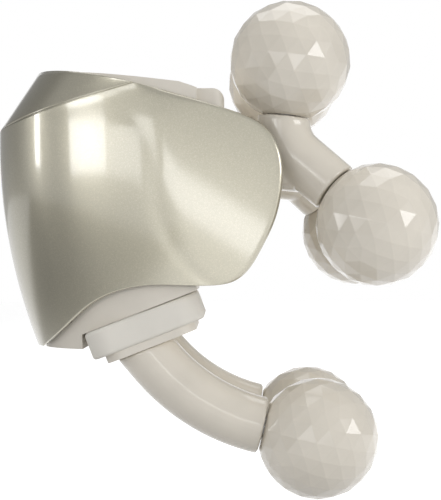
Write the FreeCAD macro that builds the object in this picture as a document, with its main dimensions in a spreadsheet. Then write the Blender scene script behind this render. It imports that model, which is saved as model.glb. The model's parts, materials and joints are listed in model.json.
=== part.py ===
import FreeCAD, Part
import math
import os
import re

from types import SimpleNamespace

import Sketcher

from FreeCAD import Placement, Rotation, Vector

# Kneading head massager: a body in a pearl shell, with two geared claws that carry six faceted balls.
# X points from the shell's nose to the balls, Y to the left of the body, Z up.
# The origin lies on the flat base, in the middle plane.

DRIVING = {
    # Massage balls, given on the left side and mirrored to the right
    "ball_radius": 21.4,
    "neck_depth": 2.0,
    "facet_steps": 4,
    "facet_tilt": 10.0,
    "mid_ball_x": 110.1,
    "mid_ball_spread": 12.0,
    "mid_ball_z": 43.3,
    "low_ball_x": 90.3,
    "low_ball_z": -31.1,
    "neck_gap": 0.4,
    # Axles, their snap rings and the bushes in the balls
    "axle_radius": 3.0,
    "axle_seat": 10.0,
    "axle_tip": 2.0,
    "bush_length": 14.0,
    "bush_wall": 2.0,
    "ring_width": 0.8,
    "ring_wall": 1.4,
    "groove_depth": 0.5,
    "ring_gap": 0.3,
    "chamber_gap": 0.8,
    # Arms
    "upper_tube_radius": 9.3,
    "lower_tube_radius": 9.9,
    "stem_radius": 8.0,
    "stem_inset": 9.6,
    "stem_end_x": 84.0,
    "stem_end_z": 63.0,
    "elbow_x": 77.7601,
    "elbow_z": 72.5515,
    "top_neck_tilt": 5.9,
    "top_neck_run": 8.8,
    "elbow_bend": 16.0,
    "root_x": 30.5,
    "root_z": -0.1,
    "root_inset": 10.0,
    "low_bend_x": 48.5,
    "low_bend_z": -21.4,
    "low_bend_radius": 68.0,
    "upper_hub_radius": 9.0,
    "upper_hub_width": 18.0,
    # Shafts and gears
    "shaft_radius": 4.0,
    "upper_pivot_x": 34.0,
    "upper_pivot_z": 68.0,
    "gear_module": 1.5,
    "sector_teeth": 24,
    "pinion_teeth": 12,
    "gear_width": 8.0,
    "gear_inset": 28.6,
    "gear_hub_radius": 8.0,
    "gear_backlash": 0.24,
    "pressure_angle": 20.0,
    "tooth_addendum": 1.2,
    "tooth_dedendum": 1.575,
    "mesh_arc": 25.0,
    "plate_thickness": 2.0,
    "plate_gap": 0.6,
    "plate_top_gap": 0.8,
    "shaft_bush_radius": 6.5,
    "press_clearance": 0.02,
    "running_clearance": 0.05,
    # Gearmotor and battery
    "motor_radius": 10.0,
    "motor_inset": 16.7,
    "motor_shaft_radius": 2.0,
    "motor_shaft_depth": 12.0,
    "motor_screw_radius": 1.25,
    "motor_screw_length": 7.0,
    "motor_screw_offset": 6.0,
    "battery_x": 1.0,
    "battery_z": 17.0,
    "battery_length": 22.0,
    "battery_height": 38.0,
    "battery_thickness": 13.0,
    "battery_gap": 0.2,
    # Pearl shell
    "shell_half_width": 49.5,
    "shell_crown": 2.5,
    "shell_crown_z": 52.0,
    "shell_wall": 2.4,
    "shell_gap": 0.4,
    "nose_x": -25.0,
    "nose_z": 74.0,
    "nose_recess": 14.4,
    "nose_power": 2.0,
    "plan_power": 2.25,
    "cheek_x": 45.0,
    "brow_z": 77.8,
    "brow_tilt": 15.5,
    "brow_top_x": -10.7,
    "brow_top_z": 98.9,
    "shell_base_z": 0.6,
    # White body
    "body_wall": 2.2,
    "base_gap": 0.8,
    "body_front_x": 48.0,
    "shoulder_run": 6.0,
    "top_ref_x": 11.0,
    "top_ref_z": 96.05,
    "top_tilt": 7.0,
    "pivot_boss_radius": 8.0,
    "pivot_boss_height": 3.4,
    "side_clearance": 0.5,
    "screw_radius": 1.5,
    "screw_head_radius": 2.8,
    "screw_head_height": 2.0,
    "screw_sink": 4.0,
    "screw_boss_radius": 4.5,
    "spacer_radius": 3.5,
    "screw_clearance": 0.2,
    "screw_grip": 10.0,
    # Front cover
    "cover_depth": 9.5,
    "cover_low_z": 47.0,
    "cover_top_z": 90.2,
    "cover_inset": 3.7,
    "cover_wall": 2.2,
    "cover_round": 4.0,
    "window_clearance": 1.2,
    "window_swing": 4.5,
    # Lower collar and yoke
    "collar_x": 31.6,
    "collar_z": 3.75,
    "collar_tilt": 21.3,
    "collar_length": 41.5,
    "collar_inset": 1.7,
    "collar_height": 9.6,
    "collar_wall": 3.0,
    "collar_round": 9.0,
    "collar_gap": 0.3,
    "flange_length": 33.0,
    "flange_inset": 1.0,
    "flange_thickness": 2.7,
    "flange_round": 7.0,
    "yoke_hub_radius": 7.0,
    "yoke_hub_width": 12.0,
    "yoke_leg_depth": 13.0,
    "yoke_margin_x": 4.5,
    "yoke_margin_y": 1.5,
    "collar_floor": 2.0,
    "collar_mouth_margin": 2.5,
    "spigot_wall": 3.2,
    "spigot_length": 12.0,
    # Top panel, button and board, measured along the slanted top
    "panel_start": -7.0,
    "panel_length": 42.0,
    "panel_width": 28.0,
    "panel_thickness": 2.2,
    "panel_ledge": 2.0,
    "panel_round": 6.0,
    "button_centre": 21.0,
    "button_length": 22.0,
    "button_width": 12.0,
    "button_rise": 0.6,
    "button_travel": 0.8,
    "button_gap": 0.3,
    "button_lip": 1.0,
    "button_lip_height": 1.2,
    "button_lip_gap": 0.2,
    "board_depth": 6.0,
    "board_thickness": 1.6,
    "board_start": -4.5,
    "board_length": 31.0,
    "board_width": 24.0,
    "board_boss_radius": 2.2,
    "board_boss_inset": 2.4,
    "board_screw_radius": 1.0,
    "board_screw_head": 1.9,
    "board_screw_head_height": 1.0,
    "board_screw_length": 4.5,
    "switch_size": 6.0,
    "switch_height": 3.1,
    "plunger_radius": 1.75,
    "plunger_rise": 1.2,
    "plunger_gap": 0.1,
    "plunger_depth": 0.5,
    "plunger_spare": 0.3,
    "port_centre": 0.5,
    "port_length": 8.9,
    "port_depth": 3.3,
    "port_wall": 0.35,
    "port_floor": 1.0,
    "port_tongue_length": 6.6,
    "port_tongue_width": 0.7,
    "port_gap": 0.15,
    "light_centre": 7.2,
    "light_radius": 1.5,
    "light_gap": 0.1,
}

# Outline of the shell's wing seen from the side: top edge, wing, then the arch above the collar
WING_OUTLINE = (
    (10.0, 95.6),
    (29.0, 91.2),
    (59.4, 82.4),
    (71.6, 76.6),
    (76.8, 67.5),
    (77.3, 57.0),
    (74.8, 44.7),
    (70.0, 34.5),
    (65.9, 27.9),
    (61.0, 23.9),
    (54.3, 22.4),
    (32.2, 22.5),
    (11.8, 15.9),
    (1.6, 7.3),
)
WING_TIP_X = -7.0

# Long screws through the body and the gear plates, in the side view
BODY_SCREWS = ((22.0, 81.4), (-5.0, 46.0), (2.0, 11.5), (41.6, 81.6))

# Outline of the two gear plates in the side view: the rest of their top edge follows the circuit board
PLATE_OUTLINE = (
    (-9.5, 76.0),
    (-9.5, 38.0),
    (-2.0, 6.0),
    (3.5, 6.0),
    (14.0, 11.6),
    (43.0, 25.0),
    (44.5, 86.0),
    (38.0, 86.0),
)
PLATE_TOP_X = (37.5, 15.0)

DERIVED = {
    "sector_radius": "gear_module * sector_teeth / 2",
    "pinion_radius": "gear_module * pinion_teeth / 2",
    "lower_pivot_z": "upper_pivot_z - 2 * sector_radius",
    "pinion_x": "upper_pivot_x - sector_radius - pinion_radius",
    "body_inset": "shell_wall + shell_gap",
    "body_half_width": "shell_half_width - body_inset",
    "boss_face_y": "body_half_width - body_wall - pivot_boss_height",
    "hub_face_y": "boss_face_y - side_clearance",
    "gear_y": "hub_face_y - gear_inset",
    "gear_start": "gear_y - gear_width / 2",
    "gear_end": "gear_y + gear_width / 2",
    "right_plate_y": "gear_start - plate_gap - plate_thickness",
    "left_plate_y": "gear_end + plate_gap",
    "motor_length": "body_half_width - motor_inset",
    "collar_back": "collar_length / 2 * cos(collar_tilt) + collar_height * sin(collar_tilt)",
    "base_front_x": "collar_x - collar_back - base_gap",
    "top_ball_y": "hub_face_y - stem_inset",
    "mid_ball_y": "top_ball_y + mid_ball_spread",
    "collar_half_width": "body_half_width - collar_inset",
    "flange_half_width": "collar_half_width - flange_inset",
    "low_ball_y": "flange_half_width - root_inset",
    "cover_half_width": "body_half_width - cover_inset",
    "ball_flat": "ball_radius - neck_depth",
    "top_neck_reach": "ball_flat + neck_gap + top_neck_run",
    "top_ball_x": "elbow_x + top_neck_reach * sin(top_neck_tilt)",
    "top_ball_z": "elbow_z + top_neck_reach * cos(top_neck_tilt)",
    "shaft_length": "2 * (boss_face_y + pivot_boss_height - side_clearance)",
    "shaft_bore": "shaft_radius + running_clearance",
    "shaft_seat": "shaft_radius + press_clearance",
    "bush_bore": "axle_radius + running_clearance",
    "bush_radius": "axle_radius + bush_wall",
    "axle_reach": "bush_length - ball_flat + ring_gap + ring_width + axle_tip",
    "cover_end_x": "body_front_x + cover_depth",
    "window_half_width": "stem_radius + window_clearance",
    "window_half_height": "stem_radius + window_swing",
    "stem_slope": "(stem_end_z - upper_pivot_z) / (stem_end_x - upper_pivot_x)",
    "window_z": "upper_pivot_z + stem_slope * (cover_end_x - upper_pivot_x)",
    "yoke_half_width": "hub_face_y - yoke_hub_width",
    "shaft_bush_seat": "shaft_bush_radius + press_clearance",
    "motor_shaft_bore": "motor_shaft_radius + running_clearance",
    "motor_screw_seat": "motor_screw_radius + press_clearance",
    "motor_screw_left_x": "pinion_x - motor_screw_offset",
    "motor_screw_right_x": "pinion_x + motor_screw_offset",
    "screw_bore": "screw_radius + screw_clearance",
    "screw_seat": "screw_radius + press_clearance",
    "screw_head_bore": "screw_head_radius + screw_clearance",
    "groove_radius": "axle_radius - groove_depth",
    "ring_radius": "groove_radius + ring_wall",
    "chamber_radius": "ring_radius + chamber_gap",
    "board_screw_seat": "board_screw_radius + press_clearance",
    "panel_half_width": "panel_width / 2",
    "button_floor": "button_lip_gap + button_lip_height",
    "plunger_top": "board_depth - switch_height - plunger_rise",
    "plunger_hole": "plunger_depth + button_travel + plunger_spare",
}

doc = FreeCAD.newDocument("HeadMassager")
sheet = doc.addObject("Spreadsheet::Sheet", "Sizes")
for row, (alias, value) in enumerate(list(DRIVING.items()) + list(DERIVED.items()), start=1):
    formula = "=" + value if alias in DERIVED else str(value)
    sheet.set("A%d" % row, alias)
    sheet.set("B%d" % row, formula)
    sheet.setAlias("B%d" % row, alias)
    doc.recompute()
size = {alias: float(sheet.get(alias)) for alias in list(DRIVING) + list(DERIVED)}

s = SimpleNamespace(**size)

# Fineness of the curved skins, and how far their construction reaches past the massager
PLAN_STEPS = 8
FLANK_STEPS = 4
SKIN_STEPS = 5
SKIN_LOW_Z = -6.0
SKIN_HIGH_Z = 62.0
BROW_MARGIN = 4.0
CHEEK_END_X = 90.0
SIDE_START_X = -40.0

NODES = []
SIDES = {"left": 1, "right": -1}
ALONG_Y = Rotation(Vector(1, 0, 0), -90)
COLLAR_TURN = Rotation(Vector(0, 1, 0), -size["collar_tilt"])
TOP_TURN = Rotation(Vector(0, 1, 0), size["top_tilt"])
COLLAR_UP = COLLAR_TURN.multVec(Vector(0, 0, 1))
TOP_UP = TOP_TURN.multVec(Vector(0, 0, 1))
COLLAR_FRAME = Placement(Vector(size["collar_x"], 0, size["collar_z"]), COLLAR_TURN)
TOP_FRAME = Placement(Vector(size["top_ref_x"], 0, size["top_ref_z"]), TOP_TURN)


# Document helpers

def expression(text):
    """The text with each size name turned into its cell of the sheet."""
    def cell(word):
        return "Sizes." + word[0] if word[0] in size else word[0]

    return re.sub(r"[a-z][a-z0-9_]*", cell, str(text))


def bind(item, **sizes):
    for name, text in sizes.items():
        item.setExpression(name, expression(text))
    return item


def put(item, at, turn=None):
    """Places an object at three expressions, turned by a fixed rotation."""
    if turn is not None:
        item.Placement = Placement(Vector(), turn)
    for axis, text in zip("xyz", at):
        item.setExpression("Placement.Base." + axis, expression(text))
    return item


def box(name, dims, at=None):
    item = doc.addObject("Part::Box", name)
    bind(item, Length=dims[0], Width=dims[1], Height=dims[2])
    return put(item, at) if at else item


def rod(name, radius, length, at, turn=ALONG_Y):
    item = doc.addObject("Part::Cylinder", name)
    bind(item, Radius=radius, Height=length)
    return put(item, at, turn)


def fuse(name, shapes):
    item = doc.addObject("Part::MultiFuse", name)
    item.Shapes = shapes
    return item


def cut(name, base, tools):
    item = doc.addObject("Part::Cut", name)
    item.Base = base
    item.Tool = tools[0] if len(tools) == 1 else fuse(name + "_tools", tools)
    return item


def group(name, shapes):
    item = doc.addObject("Part::Compound", name)
    item.Links = shapes
    return item


def feature(name, shape):
    item = doc.addObject("Part::Feature", name)
    item.Shape = shape
    return item


def rounded(name, base, radius, pick):
    """Fillets the edges of an object that the pick function accepts."""
    doc.recompute()
    item = doc.addObject("Part::Fillet", name)
    item.Base = base
    item.Edges = [(n, radius, radius) for n, edge in enumerate(base.Shape.Edges, start=1) if pick(edge)]
    return item


def node(item, label):
    """Names an object as a piece of the massager."""
    item.Label = label
    NODES.append(item)
    return item


def parallel_to(direction):
    """Picks the straight edges along a direction."""
    def pick(edge):
        step = edge.Vertexes[-1].Point - edge.Vertexes[0].Point
        return step.cross(direction).Length < 1e-6 * step.Length
    return pick


def sketch_on(body, plane):
    """A sketch on one of the body's own origin planes."""
    sketch = body.newObject("Sketcher::SketchObject", body.Name + "_sketch")
    support = [item for item in body.Origin.OriginFeatures if item.Role == plane][0]
    sketch.AttachmentSupport = [(support, "")]
    sketch.MapMode = "FlatFace"
    return sketch


def within(item, frame, at=(0, 0, 0)):
    """Places an object at a point of a tilted frame."""
    item.Placement = frame.multiply(Placement(Vector(*at), Rotation()))
    return item


def tube(name, outer, inner, length, at):
    """A round tube along Y."""
    return cut(name, rod(name + "_outside", outer, length, at), [rod(name + "_bore", inner, length, at)])


# Shapes of the pearl shell and of the body inside it

def nose_tip(height, inset):
    """Where the nose begins at a height: it draws back towards the base."""
    below = max(0.0, (s.nose_z - height) / s.nose_z)
    return s.nose_x + s.nose_recess * below ** s.nose_power + inset


def side_reach(height, inset):
    """Half width of the crowned sides at a height."""
    off_crown = (height - s.shell_crown_z) / s.shell_crown_z
    return s.shell_half_width - s.shell_crown * off_crown ** 2 - inset


def plan_wire(tip, reach, height_at):
    """Rounded nose and straight cheeks seen from above, at the height that each point's X gives."""
    span = s.cheek_x - tip
    points = []
    for step in range(-PLAN_STEPS, PLAN_STEPS + 1):
        angle = math.pi / 2 * step / PLAN_STEPS
        x = s.cheek_x - span * abs(math.cos(angle)) ** (2 / s.plan_power)
        y = math.copysign(reach * abs(math.sin(angle)) ** (2 / s.plan_power), angle)
        points.append(Vector(x, y, height_at(x)))
    curve = Part.BSplineCurve()
    curve.interpolate(points)
    far_z = height_at(CHEEK_END_X)
    corners = [Vector(CHEEK_END_X, reach, far_z), Vector(CHEEK_END_X, -reach, far_z)]
    lines = [Part.LineSegment(points[-1], corners[0]), Part.LineSegment(*corners),
             Part.LineSegment(corners[1], points[0])]
    return Part.Wire([curve.toShape()] + [line.toShape() for line in lines])


def skin_solid(inset):
    """Everything inside the shell's outer skin, drawn in by an inset: the bowed lower part and the brow."""
    rise = math.tan(math.radians(s.brow_tilt))
    spacing = (SKIN_HIGH_Z - SKIN_LOW_Z) / SKIN_STEPS
    lower_z = [SKIN_LOW_Z + spacing * step for step in range(SKIN_STEPS + 1)]
    sections = [plan_wire(nose_tip(z, inset), side_reach(z, inset), lambda x, z=z: z) for z in lower_z]
    brow = plan_wire(nose_tip(s.brow_z, inset), side_reach(s.brow_z, inset),
                     lambda x: s.brow_z + (x - s.nose_x) * rise)
    slope = (s.brow_top_x - s.nose_x) / (s.brow_top_z - s.brow_z)
    crest_z = s.brow_z + (CHEEK_END_X - s.nose_x) * rise + BROW_MARGIN
    crest_tip = s.brow_top_x + (crest_z - s.brow_top_z) * slope + inset
    crest = plan_wire(crest_tip, side_reach(s.brow_z, inset), lambda x: crest_z)
    bowl = Part.makeLoft(sections + [brow], True, False)
    bevel = Part.makeLoft([brow, crest], True, True)
    return bowl.fuse(bevel)


def side_prism(face):
    """A face of the side view, thickened across the whole width."""
    deep = 2 * s.shell_half_width
    face = face.copy()
    face.translate(Vector(0, -deep / 2, 0))
    return face.extrude(Vector(0, deep, 0))


def side_face(points):
    corners = [Vector(x, 0, z) for x, z in points]
    return Part.Face(Part.makePolygon(corners + corners[:1]))


def shell_outline():
    """Side view of the shell: brow top, top edge, wing, arch and base."""
    first = Vector(s.brow_top_x, 0, s.brow_top_z)
    last = Vector(WING_TIP_X, 0, s.shell_base_z)
    curve = Part.BSplineCurve()
    curve.interpolate([first] + [Vector(x, 0, z) for x, z in WING_OUTLINE] + [last])
    left = [Vector(SIDE_START_X, 0, s.shell_base_z), Vector(SIDE_START_X, 0, s.brow_top_z)]
    lines = [Part.LineSegment(last, left[0]), Part.LineSegment(*left), Part.LineSegment(left[1], first)]
    return Part.Face(Part.Wire([curve.toShape()] + [line.toShape() for line in lines]))


def body_top_z(x):
    """Height of the body's slanted top."""
    return s.top_ref_z - (x - s.top_ref_x) * math.tan(math.radians(s.top_tilt))


def body_outline():
    """Side view of the white body: flat base, seat of the collar, front wall, shoulder and slanted top."""
    collar_slope = math.tan(math.radians(s.collar_tilt))
    seat = (s.collar_height + s.collar_gap) / math.cos(math.radians(s.collar_tilt))

    def seat_z(x):
        return s.collar_z + (x - s.collar_x) * collar_slope + seat

    shoulder_x = s.body_front_x - s.shoulder_run
    return side_face([
        (SIDE_START_X, 0), (s.base_front_x, 0), (s.base_front_x, seat_z(s.base_front_x)),
        (s.body_front_x, seat_z(s.body_front_x)), (s.body_front_x, s.cover_top_z),
        (shoulder_x, body_top_z(shoulder_x)), (SIDE_START_X, body_top_z(SIDE_START_X))])


def flank_y(x, z, inset):
    """Half width of the skin at a point of the side view."""
    part = max(0.0, (s.cheek_x - x) / (s.cheek_x - nose_tip(z, inset)))
    return side_reach(z, inset) * (1 - part ** s.plan_power) ** (1 / s.plan_power)


def cross_rod(radius, x, z, start, end):
    """A plain rod along Y between two places."""
    return Part.makeCylinder(radius, end - start, Vector(x, start, z), Vector(0, 1, 0))


def outer_shell():
    wall = skin_solid(0).cut(skin_solid(s.shell_wall))
    return node(feature("OuterShell", wall.common(side_prism(shell_outline()))), "outer_shell")


def head_seat_y(x, z):
    """Where the head of a body screw is seated, on the right side."""
    return -flank_y(x, z, s.body_inset) + s.screw_sink + s.screw_head_height


def body_windows():
    """Openings for the upper arms, the yoke legs and what sits under the top panel."""
    deep = s.cover_half_width - s.cover_wall
    front = Part.makeBox(2 * s.body_wall, 2 * deep, s.cover_top_z - s.cover_low_z - 2 * s.cover_wall,
                         Vector(s.body_front_x - 1.5 * s.body_wall, -deep, s.cover_low_z + s.cover_wall))
    top_start = s.panel_start + s.panel_ledge
    top_reach = s.panel_half_width - s.panel_ledge
    top = Part.makeBox(s.panel_length - 2 * s.panel_ledge, 2 * top_reach, 2 * s.board_depth,
                       Vector(top_start, -top_reach, -s.board_depth))
    top.Placement = TOP_FRAME
    legs = []
    for side in SIDES.values():
        start = s.yoke_half_width - s.yoke_margin_y
        end = s.hub_face_y + s.yoke_margin_y
        leg_x = s.upper_pivot_x - s.yoke_leg_depth / 2 - s.yoke_margin_x
        low = min(side * start, side * end)
        legs.append(Part.makeBox(s.yoke_leg_depth + 2 * s.yoke_margin_x, end - start, s.lower_pivot_z,
                                 Vector(leg_x, low, 0)))
    return [front, top] + legs


def body_half(name, side):
    """Half of the white body, with its bosses for the shafts and for the long screws."""
    outline = body_outline()
    outside = skin_solid(s.body_inset).common(side_prism(outline))
    hollow = skin_solid(s.body_inset + s.body_wall).common(side_prism(outline.makeOffset2D(-s.body_wall)))
    reach = s.shell_half_width
    corner = Vector(-2 * reach, min(0, side * reach), -2 * reach)
    half = outside.cut(hollow).common(Part.makeBox(4 * reach, reach, 4 * reach, corner))
    bosses = []
    bores = []
    for pivot_z in (s.upper_pivot_z, s.lower_pivot_z):
        inner, outer = sorted((side * s.boss_face_y, side * reach))
        bosses.append(cross_rod(s.pivot_boss_radius, s.upper_pivot_x, pivot_z, inner, outer))
        depth = side * (s.boss_face_y + s.pivot_boss_height)
        bores.append(cross_rod(s.shaft_bore, s.upper_pivot_x, pivot_z, *sorted((0, depth))))
    for x, z in BODY_SCREWS:
        if side > 0:
            plate_face = s.left_plate_y + s.plate_thickness
            bosses.append(cross_rod(s.screw_boss_radius, x, z, plate_face, reach))
            bores.append(cross_rod(s.screw_seat, x, z, 0, plate_face + s.screw_grip))
        else:
            bosses.append(cross_rod(s.screw_boss_radius, x, z, -reach, s.right_plate_y))
            bores.append(cross_rod(s.screw_bore, x, z, -reach, s.right_plate_y))
            bores.append(cross_rod(s.screw_head_bore, x, z, -reach, head_seat_y(x, z)))
    bosses = [boss.common(outside) for boss in bosses]
    shape = half.multiFuse(bosses).cut(bores + body_windows())
    return node(feature("InnerBody_" + name, shape.removeSplitter()), "inner_body_" + name)


def body_screws():
    """Long screws from sunk heads in the right half, through plates and spacers, into the left half."""
    end = s.left_plate_y + s.plate_thickness + s.screw_grip
    screws = []
    for number, (x, z) in enumerate(BODY_SCREWS):
        seat = head_seat_y(x, z)
        shank = rod("BodyShank%d" % number, "screw_radius", end - seat, (x, seat, z))
        head = rod("BodyHead%d" % number, "screw_head_radius", "screw_head_height",
                   (x, seat - s.screw_head_height, z))
        screws.append(fuse("BodyScrew%d" % number, [shank, head]))
    return node(group("BodyScrews", screws), "body_screws")


# Gear train

def tooth_polygon(teeth, first_angle):
    """Outline of a gear with involute flanks, centred on the origin of the side view."""
    pitch = s.gear_module * teeth / 2
    pressure = math.radians(s.pressure_angle)
    base = pitch * math.cos(pressure)
    tip = pitch + s.tooth_addendum
    root = pitch - s.tooth_dedendum

    def spread(radius):
        """Involute angle at a radius."""
        angle = math.acos(min(1.0, base / radius))
        return math.tan(angle) - angle

    half_tooth = (math.pi * s.gear_module - s.gear_backlash) / (4 * pitch) + spread(pitch)
    start = max(base, root)
    flank = [start + (tip - start) * step / FLANK_STEPS for step in range(FLANK_STEPS + 1)]
    rising = [(root, -half_tooth + spread(start))] + [(r, -half_tooth + spread(r)) for r in flank]
    profile = rising + [(r, -angle) for r, angle in reversed(rising)]
    points = []
    for tooth in range(int(teeth)):
        centre = math.radians(first_angle) + 2 * math.pi * tooth / teeth
        points += [(r * math.cos(centre + angle), r * math.sin(centre + angle)) for r, angle in profile]
    return points


def gear_solid(teeth, first_angle, x, z):
    gear = side_face(tooth_polygon(teeth, first_angle)).extrude(Vector(0, s.gear_width, 0))
    gear.translate(Vector(x, s.gear_start, z))
    return gear


def sector(name, pivot_z, first_angle, arc_start, arc_end):
    """A gear cut down to the arc that meshes, on a round hub."""
    centre = Vector(s.upper_pivot_x, s.gear_start, pivot_z)
    reach = s.sector_radius + 2 * s.tooth_addendum
    pie = Part.makeCylinder(reach, s.gear_width, Vector(), Vector(0, 0, 1), arc_end - arc_start)
    pie.Placement = Placement(centre + Vector(0, s.gear_width, 0), Rotation(Vector(1, 0, 0), 90)).multiply(
        Placement(Vector(), Rotation(Vector(0, 0, 1), arc_start)))
    hub = cross_rod(s.gear_hub_radius, s.upper_pivot_x, pivot_z, s.gear_start, s.gear_end)
    bore = cross_rod(s.shaft_seat, s.upper_pivot_x, pivot_z, s.gear_start, s.gear_end)
    gear = gear_solid(s.sector_teeth, first_angle, s.upper_pivot_x, pivot_z)
    return node(feature(name, gear.common(pie).fuse(hub).cut(bore).removeSplitter()), name)


def drive_pinion():
    half_pitch = 180 / s.pinion_teeth
    gear = gear_solid(s.pinion_teeth, half_pitch, s.pinion_x, s.upper_pivot_z)
    seat = s.motor_shaft_radius + s.press_clearance
    bore = cross_rod(seat, s.pinion_x, s.upper_pivot_z, s.gear_start, s.gear_end)
    return node(feature("DrivePinion", gear.cut(bore)), "drive_pinion")


def add_hole(sketch, x, z, radius):
    """A circle of a side view sketch, bound to the sheet at its centre and radius."""
    first = sketch.ConstraintCount
    at = Vector(size.get(x, x), size.get(z, z), 0)
    ring = sketch.addGeometry(Part.Circle(at, Vector(0, 0, 1), size[radius]))
    sketch.addConstraint([
        Sketcher.Constraint("DistanceX", -1, 1, ring, 3, at.x),
        Sketcher.Constraint("DistanceY", -1, 1, ring, 3, at.y),
        Sketcher.Constraint("Radius", ring, size[radius])])
    for step, text in enumerate((x, z, radius)):
        sketch.setExpression("Constraints[%d]" % (first + step), expression(text))


def gear_plate(side, start):
    """One of the two plates that carry the gear train."""
    body = doc.addObject("PartDesign::Body", "GearPlate_" + side)
    sketch = sketch_on(body, "XZ_Plane")
    board_floor = s.board_depth + s.board_thickness + s.board_screw_head_height + s.plate_top_gap
    drop = board_floor / math.cos(math.radians(s.top_tilt))
    top_edge = [(x, body_top_z(x) - drop) for x in PLATE_TOP_X]
    corners = [Vector(x, z, 0) for x, z in list(PLATE_OUTLINE) + top_edge]
    for first, last in zip(corners, corners[1:] + corners[:1]):
        sketch.addGeometry(Part.LineSegment(first, last))
    add_hole(sketch, "upper_pivot_x", "upper_pivot_z", "shaft_bush_seat")
    add_hole(sketch, "upper_pivot_x", "lower_pivot_z", "shaft_bush_seat")
    add_hole(sketch, "pinion_x", "upper_pivot_z", "motor_shaft_bore")
    for x, z in BODY_SCREWS:
        add_hole(sketch, x, z, "screw_bore")
    if side == "right":
        add_hole(sketch, "motor_screw_left_x", "upper_pivot_z", "motor_screw_seat")
        add_hole(sketch, "motor_screw_right_x", "upper_pivot_z", "motor_screw_seat")
    pad = body.newObject("PartDesign::Pad", body.Name + "_pad")
    pad.Profile = sketch
    pad.Reversed = True
    bind(pad, Length="plate_thickness")
    put(body, ("0", start, "0"))
    return node(body, "gear_plate_" + side)


def gear_frame():
    gear_plate("right", "right_plate_y")
    gear_plate("left", "left_plate_y")
    between = "left_plate_y - right_plate_y - plate_thickness"
    spacers = []
    for number, (x, z) in enumerate(BODY_SCREWS):
        spacers.append(tube("Spacer%d" % number, "spacer_radius", "screw_bore", between,
                            (x, "right_plate_y + plate_thickness", z)))
    node(group("Spacers", spacers), "gear_spacers")
    bushes = []
    for pivot in ("upper_pivot_z", "lower_pivot_z"):
        for start in ("right_plate_y", "left_plate_y"):
            bushes.append(tube("ShaftBush%d" % len(bushes), "shaft_bush_radius", "shaft_bore",
                               "plate_thickness", ("upper_pivot_x", start, pivot)))
    node(group("ShaftBushes", bushes), "shaft_bushes")


def shafts():
    for name in ("upper", "lower"):
        node(rod(name.title() + "Shaft", "shaft_radius", "shaft_length",
                 ("upper_pivot_x", "-shaft_length / 2", name + "_pivot_z")), name + "_shaft")


def gearmotor():
    """Round gearmotor on the right plate, its two screws and its output shaft."""
    at = ("pinion_x", "right_plate_y - motor_length", "upper_pivot_z")
    can = rod("MotorCan", "motor_radius", "motor_length", at)
    shaft_at = ("pinion_x", "right_plate_y - motor_shaft_depth", "upper_pivot_z")
    shaft_length = "left_plate_y + plate_thickness - right_plate_y + motor_shaft_depth"
    bores = [rod("MotorBore", "motor_shaft_bore", "motor_shaft_depth", shaft_at)]
    screws = []
    screw_start = "right_plate_y + plate_thickness - motor_screw_length"
    for name in ("motor_screw_left_x", "motor_screw_right_x"):
        screw_at = (name, screw_start, "upper_pivot_z")
        screws.append(rod("Shank_" + name, "motor_screw_radius", "motor_screw_length", screw_at))
        bores.append(rod("Seat_" + name, "motor_screw_seat", "motor_screw_length", screw_at))
    node(cut("Gearmotor", can, bores), "gearmotor")
    node(group("MotorScrews", screws), "motor_screws")
    node(rod("MotorShaft", "motor_shaft_radius", shaft_length, shaft_at), "motor_shaft")


def battery():
    cell = box("BatteryCell", ("battery_length", "battery_thickness", "battery_height"),
               ("battery_x", "right_plate_y - battery_gap - battery_thickness", "battery_z"))
    return node(cell, "battery")


# Arms

def bend_path(start, corner, end, radius):
    """Two straight runs joined by a tangent arc."""
    back = (start - corner).normalize()
    ahead = (end - corner).normalize()
    half_angle = back.getAngle(ahead) / 2
    tangent = radius / math.tan(half_angle)
    middle = (back + ahead).normalize()
    centre = corner + middle * (radius / math.sin(half_angle))
    first = corner + back * tangent
    last = corner + ahead * tangent
    arc = Part.Arc(first, centre - middle * radius, last)
    runs = [Part.LineSegment(start, first), arc, Part.LineSegment(last, end)]
    return Part.Wire([run.toShape() for run in runs])


def round_tube(path, radius, start, heading):
    profile = Part.Wire(Part.makeCircle(radius, start, heading))
    return path.makePipeShell([profile], True, True)


def ball_centre(row, side):
    return Vector(size[row + "_ball_x"], side * size[row + "_ball_y"], size[row + "_ball_z"])


def ball_axis(row, side):
    """Direction from an arm's neck to the centre of its ball."""
    bend = low_bend(side) if row == "low" else elbow(side)
    return (ball_centre(row, side) - bend).normalize()


def elbow(side):
    return Vector(s.elbow_x, side * s.top_ball_y, s.elbow_z)


def low_bend(side):
    return Vector(s.low_bend_x, side * s.low_ball_y, s.low_bend_z)


def neck(row, side):
    return ball_centre(row, side) - ball_axis(row, side) * (s.ball_flat + s.neck_gap)


def axle_rod(row, side, radius, start, end):
    """A rod on a ball's axis, between two distances from the ball's centre."""
    axis = ball_axis(row, side)
    return Part.makeCylinder(radius, end - start, ball_centre(row, side) + axis * start, axis)


def axle_hole(row, side):
    seat = s.ball_flat + s.neck_gap + s.axle_seat
    return axle_rod(row, side, s.axle_radius + s.press_clearance, -seat, 0)


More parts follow.
